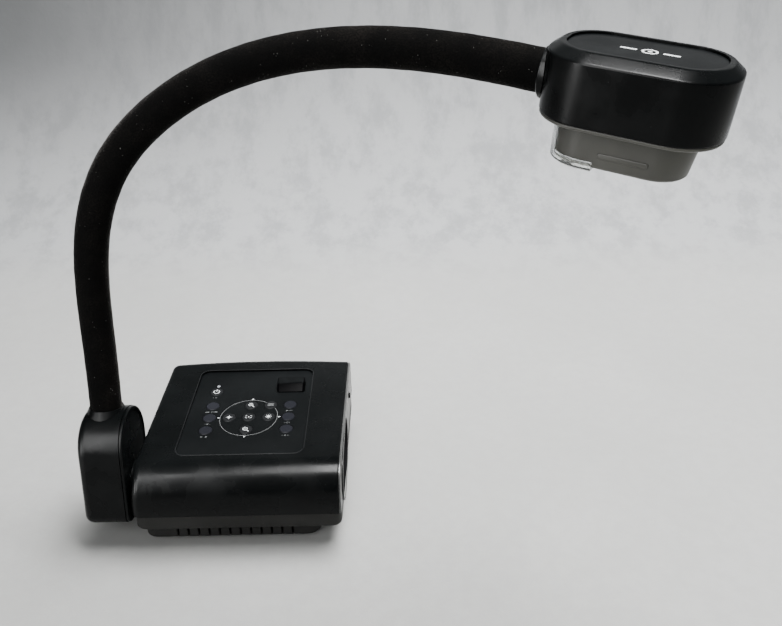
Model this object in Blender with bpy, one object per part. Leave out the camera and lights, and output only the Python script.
"""Document camera: control base, folding knuckle, gooseneck and oval camera head.

Millimetre dimensions are scaled to metres by MM. While the pieces are built, x = 0 is the left
side of the base, y = 0 its front and z = 0 the table; place_on_frame() then moves everything so
that the origin is the middle of the object's footprint. +x is to the right, +y to the back.
"""
from math import cos, pi, radians, sin, sqrt

import bmesh
import bpy
from mathutils import Euler, Matrix, Vector

MM = 0.001
GAP = 0.35                      # clearance between touching pieces

# Frame: footprint centre in base coordinates
FRAME_X = 178.81
FRAME_Y = 48.7

# Base
BASE_W = 170.0
BASE_D = 171.3
BASE_TOP = 75.0
BACK_BOW = 4.5                  # the back edge bows out this much in the middle
LEFT_FLARE = 4.0                # the left side leans out this much from top to bottom
RIGHT_SKEW = (-0.7, 2.6)        # the right side stands in at the front and out at the back
SHELL_BOTTOM = 35.5
SHELL_WALL = 2.5
ROLL_DEPTH = 26.0               # the rolled front edge is a quarter ellipse
ROLL_HEIGHT = 35.0
ROLL_STEPS = 14
BACK_R = 9.0
LEFT_EDGE = (7.0, 2.4)          # rounding of the left end: at the front roll, at the top
SIDE_PANEL_T = 1.5
PAN_BOTTOM = 18.6
PAN_WALL = 2.3
PLINTH = (0.5, 150.5, 8.0, 152.0)        # x0, x1, y0, y1
PLINTH_BOTTOM = 4.7
PLINTH_R = 11.0
VENT_SLOTS = 12
VENT_PITCH = 8.8
VENT_W = 2.0
VENT_MIDDLE = 78.3
FOOT_R = 7.5
FEET = {"front_left": (16.0, 22.0), "front_right": (135.0, 22.0),
        "back_left": (16.0, 138.0), "back_right": (135.0, 138.0)}

# Control panel
PANEL = (30.5, 137.5, 32.0, 154.7)
PANEL_R = 8.0
PANEL_FRONT = 74.6              # top of the plate at its front edge
PANEL_BACK = 73.1               # and at its back edge
PANEL_T = 2.0
KEY_PITCH = 17.5
KEY_R = 5.8
KEY_PROUD = 0.6
KEY_HEIGHT = 4.4
PAD_CENTRE = (85.3, 81.9)
KEYS = {"key_up": (0, 1), "key_down": (0, -1), "key_left": (-1, 0), "key_right": (1, 0),
        "key_ok": (0, 0), "key_menu": (1, 1), "key_source": (-2, 1), "key_lamp": (-2, 0),
        "key_freeze": (-2, -1), "key_record": (2, 1), "key_capture": (2, 0),
        "key_play": (2, -1)}
POWER_KEY = (49.7, 121.2)
LED_AT = (50.0, 130.4)
LED_R = 1.5
IR_AT = (118.7, 127.5)
IR_SIZE = (25.4, 17.0)
IR_TOP = 79.8
IR_SLOPE = 7.0                  # the window leans back this far from foot to top

# Head holder in the right side
HOLDER_Y = 57.5
HOLDER_Z = 47.5
HOLDER_L = 83.0
HOLDER_H = 46.0
HOLDER_DEPTH = 24.0
HOLDER_WALL = 1.6

# Slide switch on the right side
SWITCH_AT = (132.0, 60.0)       # y, z
SWITCH_TRAVEL = 3.0

# Rear sockets (x and z)
SOCKETS_X = (34.0, 122.0)
SOCKETS_Z = (40.0, 58.0)
SOCKETS_OUT = 2.4               # the sockets' face, behind the corners of the bowed back
INLET_AT = (115.4, 49.0)

# Knuckle
PIVOT = (36.5, 48.0)            # y, z
KNUCKLE_LEAN = 16.0
KNUCKLE_R = 31.0
KNUCKLE_BACK = 2.0              # the knuckle's middle lies this far behind the pivot
KNUCKLE_TOP = 31.8              # pivot to the centre of the round top
KNUCKLE_FOOT = 29.7             # pivot to the bottom edge
KNUCKLE_CORNER = 9.0
KNUCKLE_X = (-43.3, -8.6)
KNUCKLE_WALL = 2.6
COVER_X = (-8.2, -5.9)
HUB_X = (-5.5, -0.35)
HUB_R = 17.0
SHAFT_R = 4.5

# Gooseneck: two cubic spans, start and middle points with their headings and handle lengths
NECK_R = 12.45
NECK_START = Vector((-25.0, 55.4, 112.0))
NECK_START_LEAN = 13.2
NECK_MIDDLE = Vector((55.7, 66.0, 350.5))
NECK_MIDDLE_RISE = 35.2
NECK_MIDDLE_TURN = -1.7
NECK_HANDLES = (99.4, 98.7, 116.6, 33.2)
NECK_END = Vector((298.2, -6.0, 390.6))
NECK_LINKS = 10
ARCH_TURN = 15.0                # the arch's plane, turned from +x towards the front
NECK_SIDES = 16
ROOT_DEPTH = 17.0               # clamped length inside the knuckle
TIP_DEPTH = 13.0                # clamped length inside the head
DISH_R = 12.85
DISH_RIM = 3.6

# Camera head
HEAD_CENTRE = Vector((349.9, -34.7, 385.4))
HEAD_TURN = -29.0
HEAD_NOSE_DOWN = 4.9
HEAD_ROLL = 2.3
HEAD_L = 103.4
HEAD_W = 63.8
HEAD_H = 33.4
HEAD_R = 29.0
HEAD_WALL = 2.3
RIM_IN = 6.7
RIM_RISE = 5.0
LENS_BOX_L = 78.6
LENS_BOX_W = 44.4
LENS_BOX_H = 22.4
LENS_BOX_R = 20.0
LENS_BOX_DRAFT = 2.4            # its far end slopes out this much towards the head
LENS_SHIFT = -1.0
LENS_AT = 6.7                   # lens axis, along the head
LAMP_AT = -17.3
COVER_EDGE = -12.0              # the clear cover ends here, along the head
COVER_TAB = -35.5               # its tall end tab reaches this far round
COVER_LIP = 5.0

MATERIALS = {}


def material(name, colour, roughness, metallic=0.0, transmission=0.0):
    if name not in MATERIALS:
        mat = bpy.data.materials.new(name)
        mat.use_nodes = True
        shader = mat.node_tree.nodes["Principled BSDF"]
        shader.inputs["Base Color"].default_value = (*colour, 1.0)
        shader.inputs["Roughness"].default_value = roughness
        shader.inputs["Metallic"].default_value = metallic
        shader.inputs["Transmission Weight"].default_value = transmission
        MATERIALS[name] = mat
    return MATERIALS[name]


def satin_black():
    return material("satin_black", (0.018, 0.019, 0.021), 0.38)


def dark_grey():
    return material("dark_grey", (0.075, 0.077, 0.08), 0.5)


def gloss_black():
    return material("gloss_black", (0.01, 0.01, 0.011), 0.12)


def side_grey():
    return material("side_grey", (0.16, 0.165, 0.17), 0.35)


def neck_fabric():
    return material("neck_fabric", (0.012, 0.012, 0.013), 0.95)


def warm_grey():
    return material("warm_grey", (0.36, 0.35, 0.33), 0.5)


def key_grey():
    return material("key_grey", (0.09, 0.10, 0.13), 0.45)


def clear_plastic():
    return material("clear_plastic", (0.9, 0.92, 0.93), 0.05, transmission=0.9)


def rubber():
    return material("foot_rubber", (0.02, 0.02, 0.02), 0.85)


def steel():
    return material("steel", (0.55, 0.55, 0.56), 0.35, metallic=1.0)


def board_green():
    return material("board_green", (0.02, 0.16, 0.07), 0.5)


def led_blue():
    return material("led_blue", (0.35, 0.55, 0.9), 0.3)


def lamp_white():
    return material("lamp_white", (0.85, 0.85, 0.8), 0.4)


def lens_glass():
    return material("lens_glass", (0.05, 0.06, 0.09), 0.03, transmission=0.6)


def clear_scene():
    for obj in list(bpy.data.objects):
        bpy.data.objects.remove(obj, do_unlink=True)


def make(name, verts, faces, mat):
    """Mesh object from millimetre points, faces turned outward."""
    mesh = bpy.data.meshes.new(name)
    mesh.from_pydata([Vector(v) * MM for v in verts], [], faces)
    mesh.materials.append(mat)
    work = bmesh.new()
    work.from_mesh(mesh)
    bmesh.ops.recalc_face_normals(work, faces=work.faces)
    work.to_mesh(mesh)
    work.free()
    obj = bpy.data.objects.new(name, mesh)
    bpy.context.collection.objects.link(obj)
    return obj


def loft(name, rings, mat, around=False):
    """Skin over rings of equal count; one point closes to a tip, around joins last to first."""
    verts = []
    starts = []
    for ring in rings:
        starts.append(len(verts))
        verts.extend(ring)
    faces = []
    pairs = list(zip(rings, rings[1:], starts, starts[1:]))
    if around:
        pairs.append((rings[-1], rings[0], starts[-1], starts[0]))
    for low, high, s_low, s_high in pairs:
        count = max(len(low), len(high))
        for i in range(count):
            j = (i + 1) % count
            if len(low) == 1:
                faces.append((s_low, s_high + i, s_high + j))
            elif len(high) == 1:
                faces.append((s_low + i, s_low + j, s_high))
            else:
                faces.append((s_low + i, s_low + j, s_high + j, s_high + i))
    if len(rings[0]) > 1 and not around:
        faces.append(tuple(range(len(rings[0]))))
    if len(rings[-1]) > 1 and not around:
        faces.append(tuple(starts[-1] + i for i in range(len(rings[-1]))))
    return make(name, verts, faces, mat)


def cut(target, cutter):
    """Take the cutter away from the target and drop the cutter."""
    mod = target.modifiers.new("cut", "BOOLEAN")
    mod.operation = "DIFFERENCE"
    mod.solver = "EXACT"
    mod.object = cutter
    graph = bpy.context.evaluated_depsgraph_get()
    cut_mesh = bpy.data.meshes.new_from_object(target.evaluated_get(graph))
    target.modifiers.clear()
    target.data = cut_mesh
    bpy.data.objects.remove(cutter, do_unlink=True)


def smooth(obj, angle=35.0):
    for face in obj.data.polygons:
        face.use_smooth = True
    obj.data.set_sharp_from_angle(angle=radians(angle))
    return obj


def circle(radius, steps=24, centre=(0.0, 0.0)):
    return [(centre[0] + radius * cos(2 * pi * i / steps),
             centre[1] + radius * sin(2 * pi * i / steps)) for i in range(steps)]


def rounded_rect(x0, x1, y0, y1, radius, steps=5):
    """Corner-rounded rectangle, counter-clockwise."""
    corners = ((x1 - radius, y1 - radius, 0), (x0 + radius, y1 - radius, 90),
               (x0 + radius, y0 + radius, 180), (x1 - radius, y0 + radius, 270))
    points = []
    for cx, cy, start in corners:
        for i in range(steps + 1):
            a = radians(start + 90.0 * i / steps)
            points.append((cx + radius * cos(a), cy + radius * sin(a)))
    return points


def oval(length, width, radius, steps=10):
    return rounded_rect(-length / 2, length / 2, -width / 2, width / 2, radius, steps)


def at_z(outline, z):
    return [(x, y, z) for x, y in outline]


def at_x(outline, x):
    return [(x, y, z) for y, z in outline]


def at_y(outline, y):
    return [(x, y, z) for x, z in outline]


def disc(name, centre, radius, z0, z1, mat, chamfer=0.0, steps=24):
    rings = [at_z(circle(radius, steps, centre), z0)]
    if chamfer:
        rings.append(at_z(circle(radius, steps, centre), z1 - chamfer))
    rings.append(at_z(circle(radius - chamfer, steps, centre), z1))
    return loft(name, rings, mat)


# ---------------------------------------------------------------- base

def shell_profile(front_in, top_in, bow):
    """Side view of the shell in (y, z): elliptical front roll, flat top, rounded back edge."""
    d = BASE_D + bow - top_in
    roll_y = 1.0 + ROLL_DEPTH
    roll_z = BASE_TOP - ROLL_HEIGHT
    profile = [(1.0 + front_in, SHELL_BOTTOM)]
    for i in range(ROLL_STEPS + 1):
        a = radians(90.0 * i / ROLL_STEPS)
        profile.append((roll_y - (ROLL_DEPTH - front_in) * cos(a),
                        roll_z + (ROLL_HEIGHT - top_in) * sin(a)))
    for i in range(6):
        a = radians(90.0 - 90.0 * i / 5)
        profile.append((d - BACK_R + BACK_R * cos(a),
                        BASE_TOP - top_in - BACK_R + BACK_R * sin(a)))
    profile.append((d, SHELL_BOTTOM))
    return profile


def bow_at(x):
    across = (x - BASE_W / 2) / (BASE_W / 2)
    return BACK_BOW * (1.0 - across * across)


def lean_sides(obj):
    """Lean the left side out towards its foot, and swing the right side out at the back."""
    front, back = RIGHT_SKEW
    for v in obj.data.vertices:
        x, y, z = v.co / MM
        left = min(max(1.0 - x / 9.0, 0.0), 1.0) * (BASE_TOP - z) / (BASE_TOP - SHELL_BOTTOM)
        right = min(max((x - PANEL[1] - 2.0) / (BASE_W - PANEL[1] - 6.0), 0.0), 1.0)
        swing = front + (back - front) * y / BASE_D
        v.co.x = (x - LEFT_FLARE * min(left, 1.0) + right * swing) * MM
    return obj


def hub_seat():
    """Flat round seat in the leaning left side, for the pivot hub."""
    seat = circle(HUB_R + GAP, 28, PIVOT)
    return loft("hub_seat", [at_x(seat, -12.0), at_x(seat, 0.0)], satin_black())


def stadium_yz(grow):
    """Outline of the head holder, grown by a margin, in (y, z)."""
    half_l = HOLDER_L / 2 + grow
    half_h = HOLDER_H / 2 + grow
    return rounded_rect(HOLDER_Y - half_l, HOLDER_Y + half_l, HOLDER_Z - half_h,
                        HOLDER_Z + half_h, half_h - 0.01, 8)


def holder_cutter(grow, x0, x1):
    return loft("holder_cutter", [at_x(stadium_yz(grow), x0), at_x(stadium_yz(grow), x1)],
                satin_black())


def base_shell():
    x_end = BASE_W - SIDE_PANEL_T - GAP
    front_r, top_r = LEFT_EDGE
    stations = []
    for i in range(6):
        a = radians(90.0 * i / 5)
        stations.append((front_r * (1 - cos(a)) * 0.8, front_r * (1 - sin(a)),
                         top_r * (1 - sin(a))))
    stations += [(x_end * k / 7.0, 0.0, 0.0) for k in range(1, 7)]
    stations += [(x_end - 0.7, 0.0, 0.0), (x_end, 0.6, 0.6)]
    shell = loft("base_shell", [at_x(shell_profile(front_in, top_in, bow_at(x)), x)
                                for x, front_in, top_in in stations], satin_black())
    lean_sides(shell)
    rings = []
    for x, edge_f, edge_t in ((SHELL_WALL, front_r, top_r), (front_r, 0.0, 0.0),
                              (x_end - SHELL_WALL, 0.0, 0.0)):
        inner = shell_profile(SHELL_WALL + edge_f, SHELL_WALL + edge_t, 0.0)
        rings.append([(x, y, z if z > SHELL_BOTTOM + 1 else SHELL_BOTTOM - 5)
                      for y, z in inner])
    cavity = loft("cavity", rings, satin_black())
    cut(shell, cavity)
    opening = rounded_rect(*PANEL, PANEL_R)
    cut(shell, loft("opening", [at_z(opening, 60.0), at_z(opening, 90.0)], satin_black()))
    cut(shell, holder_cutter(HOLDER_WALL + GAP, BASE_W - 12, BASE_W + 5))
    cut(shell, hub_seat())
    bore = circle(SHAFT_R + GAP, 20, PIVOT)
    cut(shell, loft("bore", [at_x(bore, -5.0), at_x(bore, 8.0)], satin_black()))
    ports = rounded_rect(SOCKETS_X[0] - GAP, SOCKETS_X[1] + GAP, SOCKETS_Z[0] - GAP,
                         SOCKETS_Z[1] + GAP, 1.5, 3)
    cut(shell, loft("ports", [at_y(ports, BASE_D - 12), at_y(ports, BASE_D + 9)],
                    satin_black()))
    slot = rounded_rect(SWITCH_AT[0] - 4.5, SWITCH_AT[0] + 4.5, SWITCH_AT[1] - 2.2,
                        SWITCH_AT[1] + 2.2, 0.8, 2)
    cut(shell, loft("switch_slot", [at_x(slot, BASE_W - 12), at_x(slot, BASE_W + 5)],
                    satin_black()))
    return smooth(shell)


def base_pan():
    top = SHELL_BOTTOM - GAP

    def outline(inset):
        return rounded_rect(1.0 + inset, BASE_W - 0.4 - inset, 3.0 + inset,
                            BASE_D - 1.5 - inset, 7.0 - inset * 0.5, 5)

    pan = loft("base_pan", [at_z(outline(1.6), PAN_BOTTOM), at_z(outline(0.5), PAN_BOTTOM + 1.2),
                            at_z(outline(0.0), PAN_BOTTOM + 3.5), at_z(outline(0.0), top)],
               dark_grey())
    lean_sides(pan)
    cavity = loft("cavity", [at_z(outline(PAN_WALL + 0.8), PAN_BOTTOM + 2.3),
                             at_z(outline(PAN_WALL), PAN_BOTTOM + 4.0),
                             at_z(outline(PAN_WALL), top + 5)], dark_grey())
    cut(pan, cavity)
    cut(pan, hub_seat())
    cut(pan, holder_cutter(HOLDER_WALL + GAP, BASE_W - 12, BASE_W + 5))
    return smooth(pan)


def vent_plinth():
    x0, x1, y0, y1 = PLINTH
    top = PAN_BOTTOM - GAP

    def outline(inset):
        return rounded_rect(x0 + inset, x1 - inset, y0 + inset, y1 - inset,
                            PLINTH_R - inset * 0.8, 5)

    plinth = loft("vent_plinth", [at_z(outline(1.6), PLINTH_BOTTOM),
                                  at_z(outline(0.0), PLINTH_BOTTOM + 1.8),
                                  at_z(outline(0.0), top)], dark_grey())
    cut(plinth, loft("cavity", [at_z(outline(2.6), PLINTH_BOTTOM + 2.4),
                                at_z(outline(2.6), top + 5)], dark_grey()))
    for k in range(VENT_SLOTS):
        cx = VENT_MIDDLE + (k - (VENT_SLOTS - 1) / 2) * VENT_PITCH
        slot = rounded_rect(cx - VENT_W / 2, cx + VENT_W / 2, PLINTH_BOTTOM + 2.8,
                            top - 1.2, 0.6, 1)
        cut(plinth, loft("vent", [at_y(slot, y0 - 5), at_y(slot, y0 + 5)], dark_grey()))
    return smooth(plinth)


def feet():
    for corner, centre in FEET.items():
        foot = disc("foot_" + corner, centre, FOOT_R, 0.0, PLINTH_BOTTOM - GAP, rubber(),
                    steps=20)
        smooth(foot)


def ballast_plate():
    x0, x1, y0, y1 = PLINTH
    plate = rounded_rect(x0 + 6, x1 - 6, y0 + 10, y1 - 6, 5, 3)
    z0 = PLINTH_BOTTOM + 2.4 + GAP
    loft("ballast_plate", [at_z(plate, z0), at_z(plate, z0 + 8.0)], steel())


def side_panel():
    """Lighter strip that closes the right side around the head holder."""
    x1 = BASE_W
    x0 = BASE_W - SIDE_PANEL_T

    def outline(inset):
        upper = shell_profile(inset, inset, 0.0)
        low = SHELL_BOTTOM + inset
        upper[0] = (upper[0][0], low)
        upper[-1] = (upper[-1][0], low)
        return upper

    panel = loft("side_panel", [at_x(outline(0.3), x0), at_x(outline(0.3), x1 - 0.6),
                                at_x(outline(0.9), x1)], side_grey())
    lean_sides(panel)
    cut(panel, holder_cutter(HOLDER_WALL + GAP, x0 - 5, x1 + 5))
    slot = rounded_rect(SWITCH_AT[0] - 4.5, SWITCH_AT[0] + 4.5, SWITCH_AT[1] - 2.2,
                        SWITCH_AT[1] + 2.2, 0.8, 2)
    cut(panel, loft("switch_slot", [at_x(slot, x0 - 5), at_x(slot, x1 + 5)], side_grey()))
    return smooth(panel)


def head_holder():
    """Stadium cup that takes the lens housing when the camera is stored."""
    x1 = BASE_W - 0.2
    x0 = x1 - HOLDER_DEPTH - 2.0
    cup = loft("head_holder", [at_x(stadium_yz(HOLDER_WALL), x0),
                               at_x(stadium_yz(HOLDER_WALL), x1)], satin_black())
    cut(cup, holder_cutter(0.0, x0 + 2.0, x1 + 5))
    return smooth(lean_sides(cup))


def side_switch():
    """Slide switch knob standing 1.6 mm out of the right side."""
    y, z = SWITCH_AT
    y = y - SWITCH_TRAVEL / 2
    face = BASE_W + RIGHT_SKEW[0] + (RIGHT_SKEW[1] - RIGHT_SKEW[0]) * y / BASE_D
    stem = rounded_rect(y - 2.4, y + 2.4, z - 1.7, z + 1.7, 0.5, 2)
    knob = loft("side_switch", [at_x(stem, face - 4.6), at_x(stem, face + 1.2),
                                at_x(rounded_rect(y - 2.0, y + 2.0, z - 1.3, z + 1.3, 0.4, 2),
                                     face + 1.6)], satin_black())
    set_origin(knob, (face, y, z))


def socket_block():
    """Rear connector block with rectangular signal sockets and a round power inlet hole."""
    y1 = BASE_D + SOCKETS_OUT
    outline = rounded_rect(*SOCKETS_X, *SOCKETS_Z, 1.2, 2)
    block = loft("socket_block", [at_y(outline, y1 - 13), at_y(outline, y1)], dark_grey())
    sockets = ((42.0, 10.0, 9.0), (60.0, 15.0, 5.6), (82.0, 15.0, 5.6), (101.0, 13.0, 7.0))
    for cx, width, height in sockets:
        cz = (SOCKETS_Z[0] + SOCKETS_Z[1]) / 2
        hole = rounded_rect(cx - width / 2, cx + width / 2, cz - height / 2, cz + height / 2,
                            0.8, 2)
        cut(block, loft("socket", [at_y(hole, y1 - 9), at_y(hole, y1 + 5)], dark_grey()))
    inlet = circle(4.6 + GAP, 20, INLET_AT)
    cut(block, loft("inlet", [at_y(inlet, y1 - 20), at_y(inlet, y1 + 5)], dark_grey()))
    return smooth(block)


def power_inlet():
    """Round low-voltage inlet: a cup with a centre pin."""
    y1 = BASE_D + SOCKETS_OUT - 0.2
    steps = 20
    rings = [at_y(circle(4.6, steps, INLET_AT), y1 - 12), at_y(circle(4.6, steps, INLET_AT), y1),
             at_y(circle(3.1, steps, INLET_AT), y1), at_y(circle(3.1, steps, INLET_AT), y1 - 10),
             at_y(circle(1.0, steps, INLET_AT), y1 - 10),
             at_y(circle(1.0, steps, INLET_AT), y1 - 1)]
    return smooth(loft("power_inlet", rings, gloss_black()))


def main_board():
    outline = rounded_rect(16.0, 138.0, 14.0, 150.0, 3.0, 2)
    loft("main_board", [at_z(outline, 29.0), at_z(outline, 30.6)], board_green())


# ---------------------------------------------------------------- control panel

def key_centres():
    centres = {name: (PAD_CENTRE[0] + col * KEY_PITCH, PAD_CENTRE[1] + row * KEY_PITCH)
               for name, (col, row) in KEYS.items()}
    centres["key_power"] = POWER_KEY
    return centres


def panel_z(y):
    """Height of the plate's top; it dips towards the back."""
    share = (y - PANEL[2]) / (PANEL[3] - PANEL[2])
    return PANEL_FRONT + share * (PANEL_BACK - PANEL_FRONT)


def panel_plate():
    x0, x1, y0, y1 = PANEL
    outline = rounded_rect(x0 + GAP, x1 - GAP, y0 + GAP, y1 - GAP, PANEL_R - GAP, 6)
    plate = loft("panel_plate", [[(x, y, panel_z(y) - PANEL_T) for x, y in outline],
                                 [(x, y, panel_z(y)) for x, y in outline]], satin_black())
    holes = [circle(KEY_R + GAP, 18, centre) for centre in key_centres().values()]
    holes.append(circle(LED_R + GAP, 12, LED_AT))
    w, d = IR_SIZE
    holes.append(rounded_rect(IR_AT[0] - w / 2 - GAP, IR_AT[0] + w / 2 + GAP,
                              IR_AT[1] - d / 2 - GAP, IR_AT[1] + d / 2 + GAP, 2.5, 3))
    for hole in holes:
        cut(plate, loft("hole", [at_z(hole, 60.0), at_z(hole, 90.0)], satin_black()))
    return smooth(plate)


def keys():
    dark = {"key_up", "key_down", "key_left", "key_right", "key_ok", "key_power", "key_menu"}
    for name, centre in key_centres().items():
        mat = satin_black() if name in dark else key_grey()
        top = panel_z(centre[1]) + KEY_PROUD
        key = disc(name, centre, KEY_R, top - KEY_HEIGHT, top, mat, chamfer=0.6, steps=18)
        smooth(key)
        set_origin(key, (centre[0], centre[1], top))


def ir_window():
    w, d = IR_SIZE
    x, y = IR_AT

    def outline(inset, lean):
        return rounded_rect(x - w / 2 + inset, x + w / 2 - inset, y - d / 2 + inset + lean,
                            y + d / 2 - inset, 2.2, 3)

    foot = panel_z(y) + 0.6
    block = loft("ir_window", [at_z(outline(0, 0), 70.5), at_z(outline(0, 0), foot),
                               at_z(outline(0, IR_SLOPE * 0.8), IR_TOP - 1.0),
                               at_z(outline(0.9, IR_SLOPE), IR_TOP)], gloss_black())
    return smooth(block)


def keypad_board():
    x0, x1, y0, y1 = PANEL
    outline = rounded_rect(x0 + 3, x1 - 3, y0 + 3, y1 - 3, 4.0, 2)
    loft("keypad_board", [at_z(outline, 66.6), at_z(outline, 68.2)], board_green())


# ---------------------------------------------------------------- knuckle

def knuckle_axes():
    """Up along the leaning knuckle, and to its back, in (y, z)."""
    lean = radians(KNUCKLE_LEAN)
    return (sin(lean), cos(lean)), (cos(lean), -sin(lean))


def tombstone(inset):
    """Knuckle side view in (y, z): round top, straight sides, rounded bottom corners."""
    (uy, uz), (by, bz) = knuckle_axes()
    r = KNUCKLE_R - inset
    corner = max(KNUCKLE_CORNER - inset, 1.5)
    foot = KNUCKLE_FOOT - inset
    local = []
    for i in range(25):
        a = pi * i / 24
        local.append((r * cos(a), KNUCKLE_TOP + r * sin(a)))
    for i in range(6):
        a = radians(180 + 90 * i / 5)
        local.append((-r + corner + corner * cos(a), -foot + corner + corner * sin(a)))
    for i in range(6):
        a = radians(270 + 90 * i / 5)
        local.append((r - corner + corner * cos(a), -foot + corner + corner * sin(a)))
    return [(PIVOT[0] + (b + KNUCKLE_BACK) * by + u * uy,
             PIVOT[1] + (b + KNUCKLE_BACK) * bz + u * uz) for b, u in local]


def knuckle_housing():
    x0, x1 = KNUCKLE_X
    stations = ((x0, 6.5), (x0 + 0.7, 4.0), (x0 + 2.2, 1.9), (x0 + 4.4, 0.6), (x0 + 7.5, 0.0),
                (x1, 0.0))
    housing = loft("knuckle_housing", [at_x(tombstone(inset), x) for x, inset in stations],
                   satin_black())
    cavity = loft("cavity", [at_x(tombstone(KNUCKLE_WALL + 4.5), x0 + KNUCKLE_WALL),
                             at_x(tombstone(KNUCKLE_WALL), x0 + KNUCKLE_WALL + 6.0),
                             at_x(tombstone(KNUCKLE_WALL), x1 + 5)], satin_black())
    cut(housing, cavity)
    cut(housing, neck_cutter(0.0, 34.0))
    return smooth(housing)


def neck_cutter(s0, s1):
    """Bore around the neck's lower end, slightly wider than the neck."""
    rings = [neck_ring(s, NECK_R + GAP + 0.15, 24) for s in (s0, (s0 + s1) / 2, s1)]
    return loft("neck_bore", rings, satin_black())


def knuckle_cover():
    cover = loft("knuckle_cover", [at_x(tombstone(0.5), COVER_X[0]),
                                   at_x(tombstone(0.5), COVER_X[1] - 0.6),
                                   at_x(tombstone(1.1), COVER_X[1])], satin_black())
    recess = loft("recess", [at_x(tombstone(3.4), COVER_X[1] - 0.9),
                             at_x(tombstone(3.4), COVER_X[1] + 5)], satin_black())
    cut(cover, recess)
    bore = circle(SHAFT_R + GAP, 20, PIVOT)
    cut(cover, loft("bore", [at_x(bore, COVER_X[0] - 5), at_x(bore, COVER_X[1] + 5)],
                    satin_black()))
    return smooth(cover)


def pivot_hub():
    """Boss between the knuckle and the base, fixed to the base."""
    hub = loft("pivot_hub", [at_x(circle(HUB_R, 28, PIVOT), HUB_X[0]),
                             at_x(circle(HUB_R, 28, PIVOT), HUB_X[1])], satin_black())
    bore = circle(SHAFT_R + GAP, 20, PIVOT)
    cut(hub, loft("bore", [at_x(bore, HUB_X[0] - 5), at_x(bore, HUB_X[1] + 5)], satin_black()))
    return smooth(hub)


def hinge_shaft():
    rings = [at_x(circle(r, 20, PIVOT), x) for x, r in
             ((-22.0, 8.0), (-19.5, 8.0), (-19.5, SHAFT_R), (4.0, SHAFT_R), (4.0, 8.0), (8.0, 8.0))]
    return smooth(loft("hinge_shaft", rings, steel()))


def friction_washer():
    rings = [at_x(circle(r, 20, PIVOT), x) for x, r in
             ((-19.1, SHAFT_R + GAP), (-19.1, 11.0), (-15.0, 11.0), (-15.0, SHAFT_R + GAP))]
    return loft("friction_washer", rings, steel(), around=True)


def neck_collar():
    """Raised saddle ring where the neck leaves the knuckle."""
    s0 = ROOT_DEPTH - 13.0
    s1 = ROOT_DEPTH - 1.8
    rings = [neck_ring(s0, 16.8, 24), neck_ring(s0 + 4.5, 16.8, 24), neck_ring(s1 - 0.8, 14.0, 24),
             neck_ring(s1, 13.6, 24)]
    collar = loft("neck_collar", rings, satin_black())
    cut(collar, neck_cutter(s0 - 3, s1 + 3))
    x0, x1 = KNUCKLE_X
    stations = ((x0, 6.5), (x0 + 0.7, 4.0), (x0 + 2.2, 1.9), (x0 + 4.4, 0.6), (x0 + 7.5, 0.0),
                (x1, 0.0), (COVER_X[1] + 0.4, 0.0))
    under = loft("under", [at_x(tombstone(inset - GAP), x) for x, inset in stations],
                 satin_black())
    cut(collar, under)
    return smooth(collar)


# ---------------------------------------------------------------- gooseneck

def heading(rise, turn):
    a = radians(rise)
    b = radians(turn)
    return Vector((cos(a) * cos(b), cos(a) * sin(b), sin(a)))


def head_matrix():
    turn = Euler((radians(HEAD_ROLL), radians(HEAD_NOSE_DOWN), radians(HEAD_TURN)), "XYZ")
    return Matrix.Translation(HEAD_CENTRE) @ turn.to_matrix().to_4x4()


def neck_path():
    """Dense centreline: clamped root, two cubic spans, clamped tip. Returns points."""
    start_dir = Vector((0.045, sin(radians(NECK_START_LEAN)), cos(radians(NECK_START_LEAN))))
    start_dir.normalize()
    mid_dir = heading(NECK_MIDDLE_RISE, NECK_MIDDLE_TURN)
    end_dir = (head_matrix().to_3x3() @ Vector((1, 0, 0))).normalized()
    h0, h1, h2, h3 = NECK_HANDLES
    spans = ((NECK_START, NECK_START + h0 * start_dir, NECK_MIDDLE - h1 * mid_dir, NECK_MIDDLE),
             (NECK_MIDDLE, NECK_MIDDLE + h2 * mid_dir, NECK_END - h3 * end_dir, NECK_END))
    points = [NECK_START - ROOT_DEPTH * start_dir]
    for a, b, c, d in spans:
        for i in range(60):
            t = i / 60
            s = 1 - t
            points.append(s ** 3 * a + 3 * t * s * s * b + 3 * t * t * s * c + t ** 3 * d)
    points.append(NECK_END)
    points.append(NECK_END + TIP_DEPTH * end_dir)
    return points


def path_lengths(points):
    lengths = [0.0]
    for a, b in zip(points, points[1:]):
        lengths.append(lengths[-1] + (b - a).length)
    return lengths


PATH = neck_path()
LENGTHS = path_lengths(PATH)
NECK_LENGTH = LENGTHS[-1]


def neck_point(s):
    for i in range(1, len(PATH)):
        if LENGTHS[i] >= s or i == len(PATH) - 1:
            share = (s - LENGTHS[i - 1]) / (LENGTHS[i] - LENGTHS[i - 1])
            return PATH[i - 1].lerp(PATH[i], share)
    return PATH[-1]


def neck_tangent(s):
    return (neck_point(s + 1.5) - neck_point(s - 1.5)).normalized()


def neck_frame(s):
    """Along the neck, towards the arch's hollow, and across the arch, at s."""
    along = neck_tangent(s)
    arch_normal = Vector((sin(radians(ARCH_TURN)), -cos(radians(ARCH_TURN)), 0.0))
    inner = along.cross(arch_normal).normalized()
    return along, inner, along.cross(inner)


def neck_ring(s, radius, steps=NECK_SIDES, centre=None, shift=0.0):
    along, a, b = neck_frame(s)
    middle = (centre or neck_point(s)) + along * shift
    return [middle + radius * (cos(2 * pi * i / steps) * a + sin(2 * pi * i / steps) * b)
            for i in range(steps)]


def joint_stations():
    """Distances along the neck of the joints between links."""
    first = 62.0
    last = NECK_LENGTH - 58.0
    count = NECK_LINKS - 1
    return [first + (last - first) * k / (count - 1) for k in range(count)]


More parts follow.
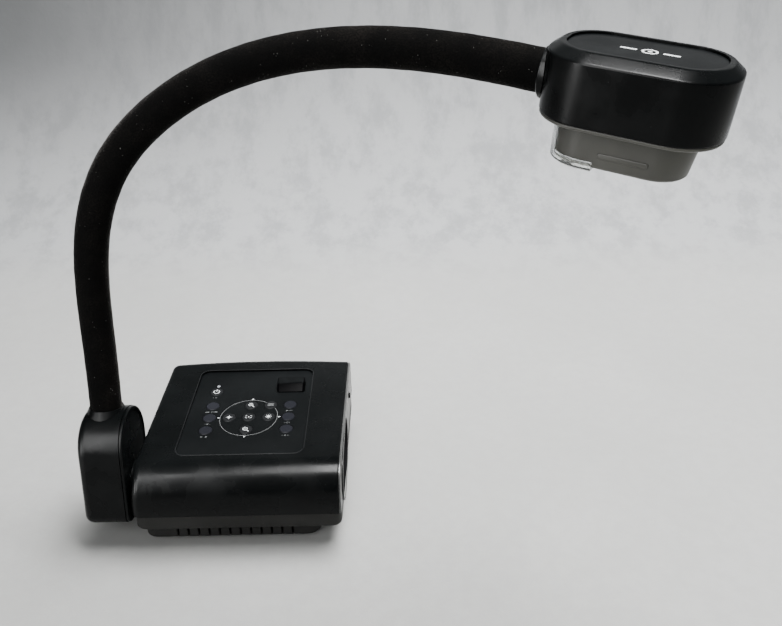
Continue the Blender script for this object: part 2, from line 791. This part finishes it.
def neck_link(index, s0, s1):
    """One link: dished lower end around the joint at s0, ball end around the joint at s1."""
    rings = []
    if index == 1:
        rings.append(neck_ring(s0, NECK_R))
    else:
        tip = DISH_R
        along = neck_tangent(s0)
        rings.append([neck_point(s0) + along * tip])
        for angle in (68.0, 46.0, 29.0):
            a = radians(angle)
            rings.append(neck_ring(s0, DISH_R * cos(a), shift=DISH_R * sin(a)))
        rim = sqrt(DISH_R ** 2 - DISH_RIM ** 2)
        rings.append(neck_ring(s0, rim, shift=DISH_RIM))
        rings.append(neck_ring(s0, NECK_R, shift=DISH_RIM))
    body_from = s0 if index == 1 else s0 + DISH_RIM
    steps = 4
    for i in range(1, steps + 1):
        rings.append(neck_ring(body_from + (s1 - body_from) * i / steps, NECK_R))
    if index < NECK_LINKS:
        for angle in (25.0, 48.0, 70.0):
            a = radians(angle)
            rings.append(neck_ring(s1, NECK_R * cos(a), shift=NECK_R * sin(a)))
        rings.append([neck_point(s1) + neck_tangent(s1) * NECK_R])
    link = loft("neck_link_%02d" % index, rings, neck_fabric())
    if index > 1:
        set_origin(link, neck_point(s0))
    return smooth(link)


def gooseneck():
    stations = [0.0] + joint_stations() + [NECK_LENGTH]
    for index in range(1, NECK_LINKS + 1):
        neck_link(index, stations[index - 1], stations[index])


# ---------------------------------------------------------------- camera head

def in_head(obj):
    frame = head_matrix()
    frame.translation = frame.translation * MM
    obj.data.transform(frame)
    return obj


def head_loft(name, levels, mat, length=None, width=None, radius=None, shift=0.0):
    """Oval stack in head coordinates: levels are (height, inset)."""
    length = length or HEAD_L
    width = width or HEAD_W
    radius = radius or HEAD_R
    rings = []
    for z, inset in levels:
        outline = oval(length - 2 * inset, width - 2 * inset, max(radius - inset, 1.0))
        rings.append([(x + shift, y, z) for x, y in outline])
    return in_head(loft(name, rings, mat))


def head_shell():
    half = HEAD_H / 2
    top = half + RIM_RISE
    shell = head_loft("head_shell", [(-half, 0.5), (-half + 0.8, 0.0), (half - 0.6, 0.0),
                                     (half + 0.2, 0.25), (half + 0.9, 0.9),
                                     (top - 0.6, RIM_IN - 1.1), (top - 0.15, RIM_IN - 0.3),
                                     (top, RIM_IN + 0.5)], satin_black())
    wall = HEAD_WALL
    cut(shell, head_loft("cavity", [(-half - 5, wall), (half - 0.5, wall),
                                    (top - wall, RIM_IN + 1.6)], satin_black()))
    cut(shell, head_loft("top_hole", [(half - 6, RIM_IN + 2.6), (top + 5, RIM_IN + 2.6)],
                         satin_black()))
    cut(shell, neck_cutter(NECK_LENGTH - 26.0, NECK_LENGTH + 3.0))
    return smooth(shell)


def head_top():
    top = HEAD_H / 2 + RIM_RISE - 1.3
    inset = RIM_IN + 2.6 + GAP
    return smooth(head_loft("head_top", [(top - 2.0, inset), (top, inset)], satin_black()))


def head_bottom():
    z = -HEAD_H / 2 - GAP
    plate = head_loft("head_bottom", [(z - 2.0, 1.2), (z - 1.2, 0.5), (z, 0.5)], warm_grey())
    lens_hole = [(LENS_AT + x, y) for x, y in circle(8.6 + GAP, 24)]
    cut(plate, in_head(loft("lens_hole", [at_z(lens_hole, z - 6), at_z(lens_hole, z + 4)],
                            warm_grey())))
    return smooth(plate)


def lens_box_top():
    return -HEAD_H / 2 - 2 * GAP - 2.0


def lens_housing():
    z1 = lens_box_top()
    z0 = z1 - LENS_BOX_H
    rings = []
    for z, inset, stretch in ((z0, 1.9, 0.0), (z0 + 1.2, 0.9, 0.2), (z1, 0.0, LENS_BOX_DRAFT)):
        outline = oval(LENS_BOX_L + stretch - 2 * inset, LENS_BOX_W - 2 * inset,
                       LENS_BOX_R - inset)
        rings.append([(x + LENS_SHIFT + stretch / 2, y, z) for x, y in outline])
    box = in_head(loft("lens_housing", rings, warm_grey()))
    cut(box, head_loft("cavity", [(z0 + 2.2, 3.2), (z1 + 5, 2.2)], warm_grey(), LENS_BOX_L,
                       LENS_BOX_W, LENS_BOX_R, LENS_SHIFT))
    eye = [(LENS_AT + x, y) for x, y in circle(8.6 + GAP, 24)]
    cut(box, in_head(loft("eye", [at_z(eye, z0 - 5), at_z(eye, z0 + 5)], warm_grey())))
    lamp = rounded_rect(LAMP_AT - 3.4 - GAP, LAMP_AT + 3.4 + GAP, -9.0 - GAP, 9.0 + GAP, 1.5, 2)
    cut(box, in_head(loft("lamp", [at_z(lamp, z0 - 5), at_z(lamp, z0 + 5)], warm_grey())))
    return smooth(box)


def lens_barrel():
    """Open tube around the lens; its lower end is flush with the housing's window."""
    z1 = -HEAD_H / 2 + 6.0
    z0 = lens_box_top() - LENS_BOX_H + 0.6
    outer = circle(8.6, 24)
    inner = circle(7.0, 24)
    rings = [[(LENS_AT + x, y, z) for x, y in ring] for ring, z in
             ((outer, z0), (outer, z1), (inner, z1), (inner, z0))]
    return smooth(in_head(loft("lens_barrel", rings, gloss_black(), around=True)))


def lens_glass_disc():
    z0 = lens_box_top() - LENS_BOX_H + 3.0
    rings = [[(LENS_AT + x, y, z) for x, y in circle(r, 24)] for r, z in
             ((6.6, z0), (6.6, z0 + 4.0), (4.0, z0 + 5.4))]
    return smooth(in_head(loft("lens_glass", rings, lens_glass())))


def lamp_bar():
    z0 = lens_box_top() - LENS_BOX_H + 0.8
    bar = rounded_rect(LAMP_AT - 3.4, LAMP_AT + 3.4, -9.0, 9.0, 1.2, 2)
    return in_head(loft("lamp_bar", [at_z(bar, z0), at_z(bar, z0 + 3.0)], lamp_white()))


def sensor_board():
    z0 = -HEAD_H / 2 + 6.0 + GAP
    board = [(x + LENS_AT - 2, y) for x, y in oval(52.0, 44.0, 4.0, 2)]
    return in_head(loft("sensor_board", [at_z(board, z0), at_z(board, z0 + 1.6)],
                        board_green()))


def lens_cover():
    """Clear cap around the neck side of the lens housing; it pulls off towards the neck."""
    z1 = lens_box_top() - 1.5
    z0 = lens_box_top() - LENS_BOX_H - GAP - 1.2
    grow = 1.2 + GAP
    cover = head_loft("lens_cover", [(z0, 1.6), (z0 + 0.8, 0.7), (z1, 0.0)], clear_plastic(),
                      LENS_BOX_L + 2 * grow, LENS_BOX_W + 2 * grow, LENS_BOX_R + grow,
                      LENS_SHIFT)
    cut(cover, head_loft("cavity", [(z0 + 1.2, 1.9 - GAP), (z0 + 2.4 + GAP, 0.9 - GAP),
                                    (z1 + 5, -GAP)], clear_plastic(), LENS_BOX_L, LENS_BOX_W,
                         LENS_BOX_R, LENS_SHIFT))
    past = rounded_rect(COVER_EDGE, 60.0, -40.0, 40.0, 1.0, 1)
    cut(cover, in_head(loft("past", [at_z(past, z0 - 5), at_z(past, z1 + 5)], clear_plastic())))
    above = rounded_rect(COVER_TAB, 60.0, -40.0, 40.0, 1.0, 1)
    cut(cover, in_head(loft("above", [at_z(above, z0 + COVER_LIP), at_z(above, z1 + 5)],
                            clear_plastic())))
    set_origin(cover, head_matrix() @ Vector((-LENS_BOX_L / 2, 0.0, z0)))
    return smooth(cover)


def head_collar():
    """Gloss ring between the neck and the head."""
    s1 = NECK_LENGTH - 0.5
    s0 = NECK_LENGTH - 7.4
    rings = [neck_ring(s0, 14.4, 28), neck_ring(s0 + 0.9, 15.2, 28), neck_ring(s1, 15.4, 28)]
    collar = loft("head_collar", rings, gloss_black())
    cut(collar, neck_cutter(s0 - 3, s1 + 3))
    half = HEAD_H / 2
    grown = head_loft("grown", [(-half - 3, -GAP), (half, -GAP), (half + 6, RIM_IN - GAP)],
                      gloss_black())
    cut(collar, grown)
    return smooth(collar)


# ---------------------------------------------------------------- finish

def set_origin(obj, point):
    """Put the object's origin on a point given in millimetres."""
    centre = Vector(point) * MM
    obj.data.transform(Matrix.Translation(-centre))
    obj.location = centre


def place_on_frame():
    shift = Vector((FRAME_X, FRAME_Y, 0.0)) * MM
    for obj in bpy.data.objects:
        obj.location = obj.location - shift


def power_led():
    return smooth(disc("power_led", LED_AT, LED_R, 70.5, panel_z(LED_AT[1]) + 0.15, led_blue(),
                       steps=12))


def build():
    clear_scene()
    base_shell()
    base_pan()
    vent_plinth()
    feet()
    ballast_plate()
    side_panel()
    head_holder()
    side_switch()
    socket_block()
    power_inlet()
    main_board()
    panel_plate()
    keys()
    ir_window()
    power_led()
    keypad_board()
    knuckle_housing()
    knuckle_cover()
    pivot_hub()
    hinge_shaft()
    friction_washer()
    neck_collar()
    gooseneck()
    head_shell()
    head_top()
    head_bottom()
    lens_housing()
    lens_barrel()
    lens_glass_disc()
    lamp_bar()
    sensor_board()
    lens_cover()
    head_collar()
    place_on_frame()


build()
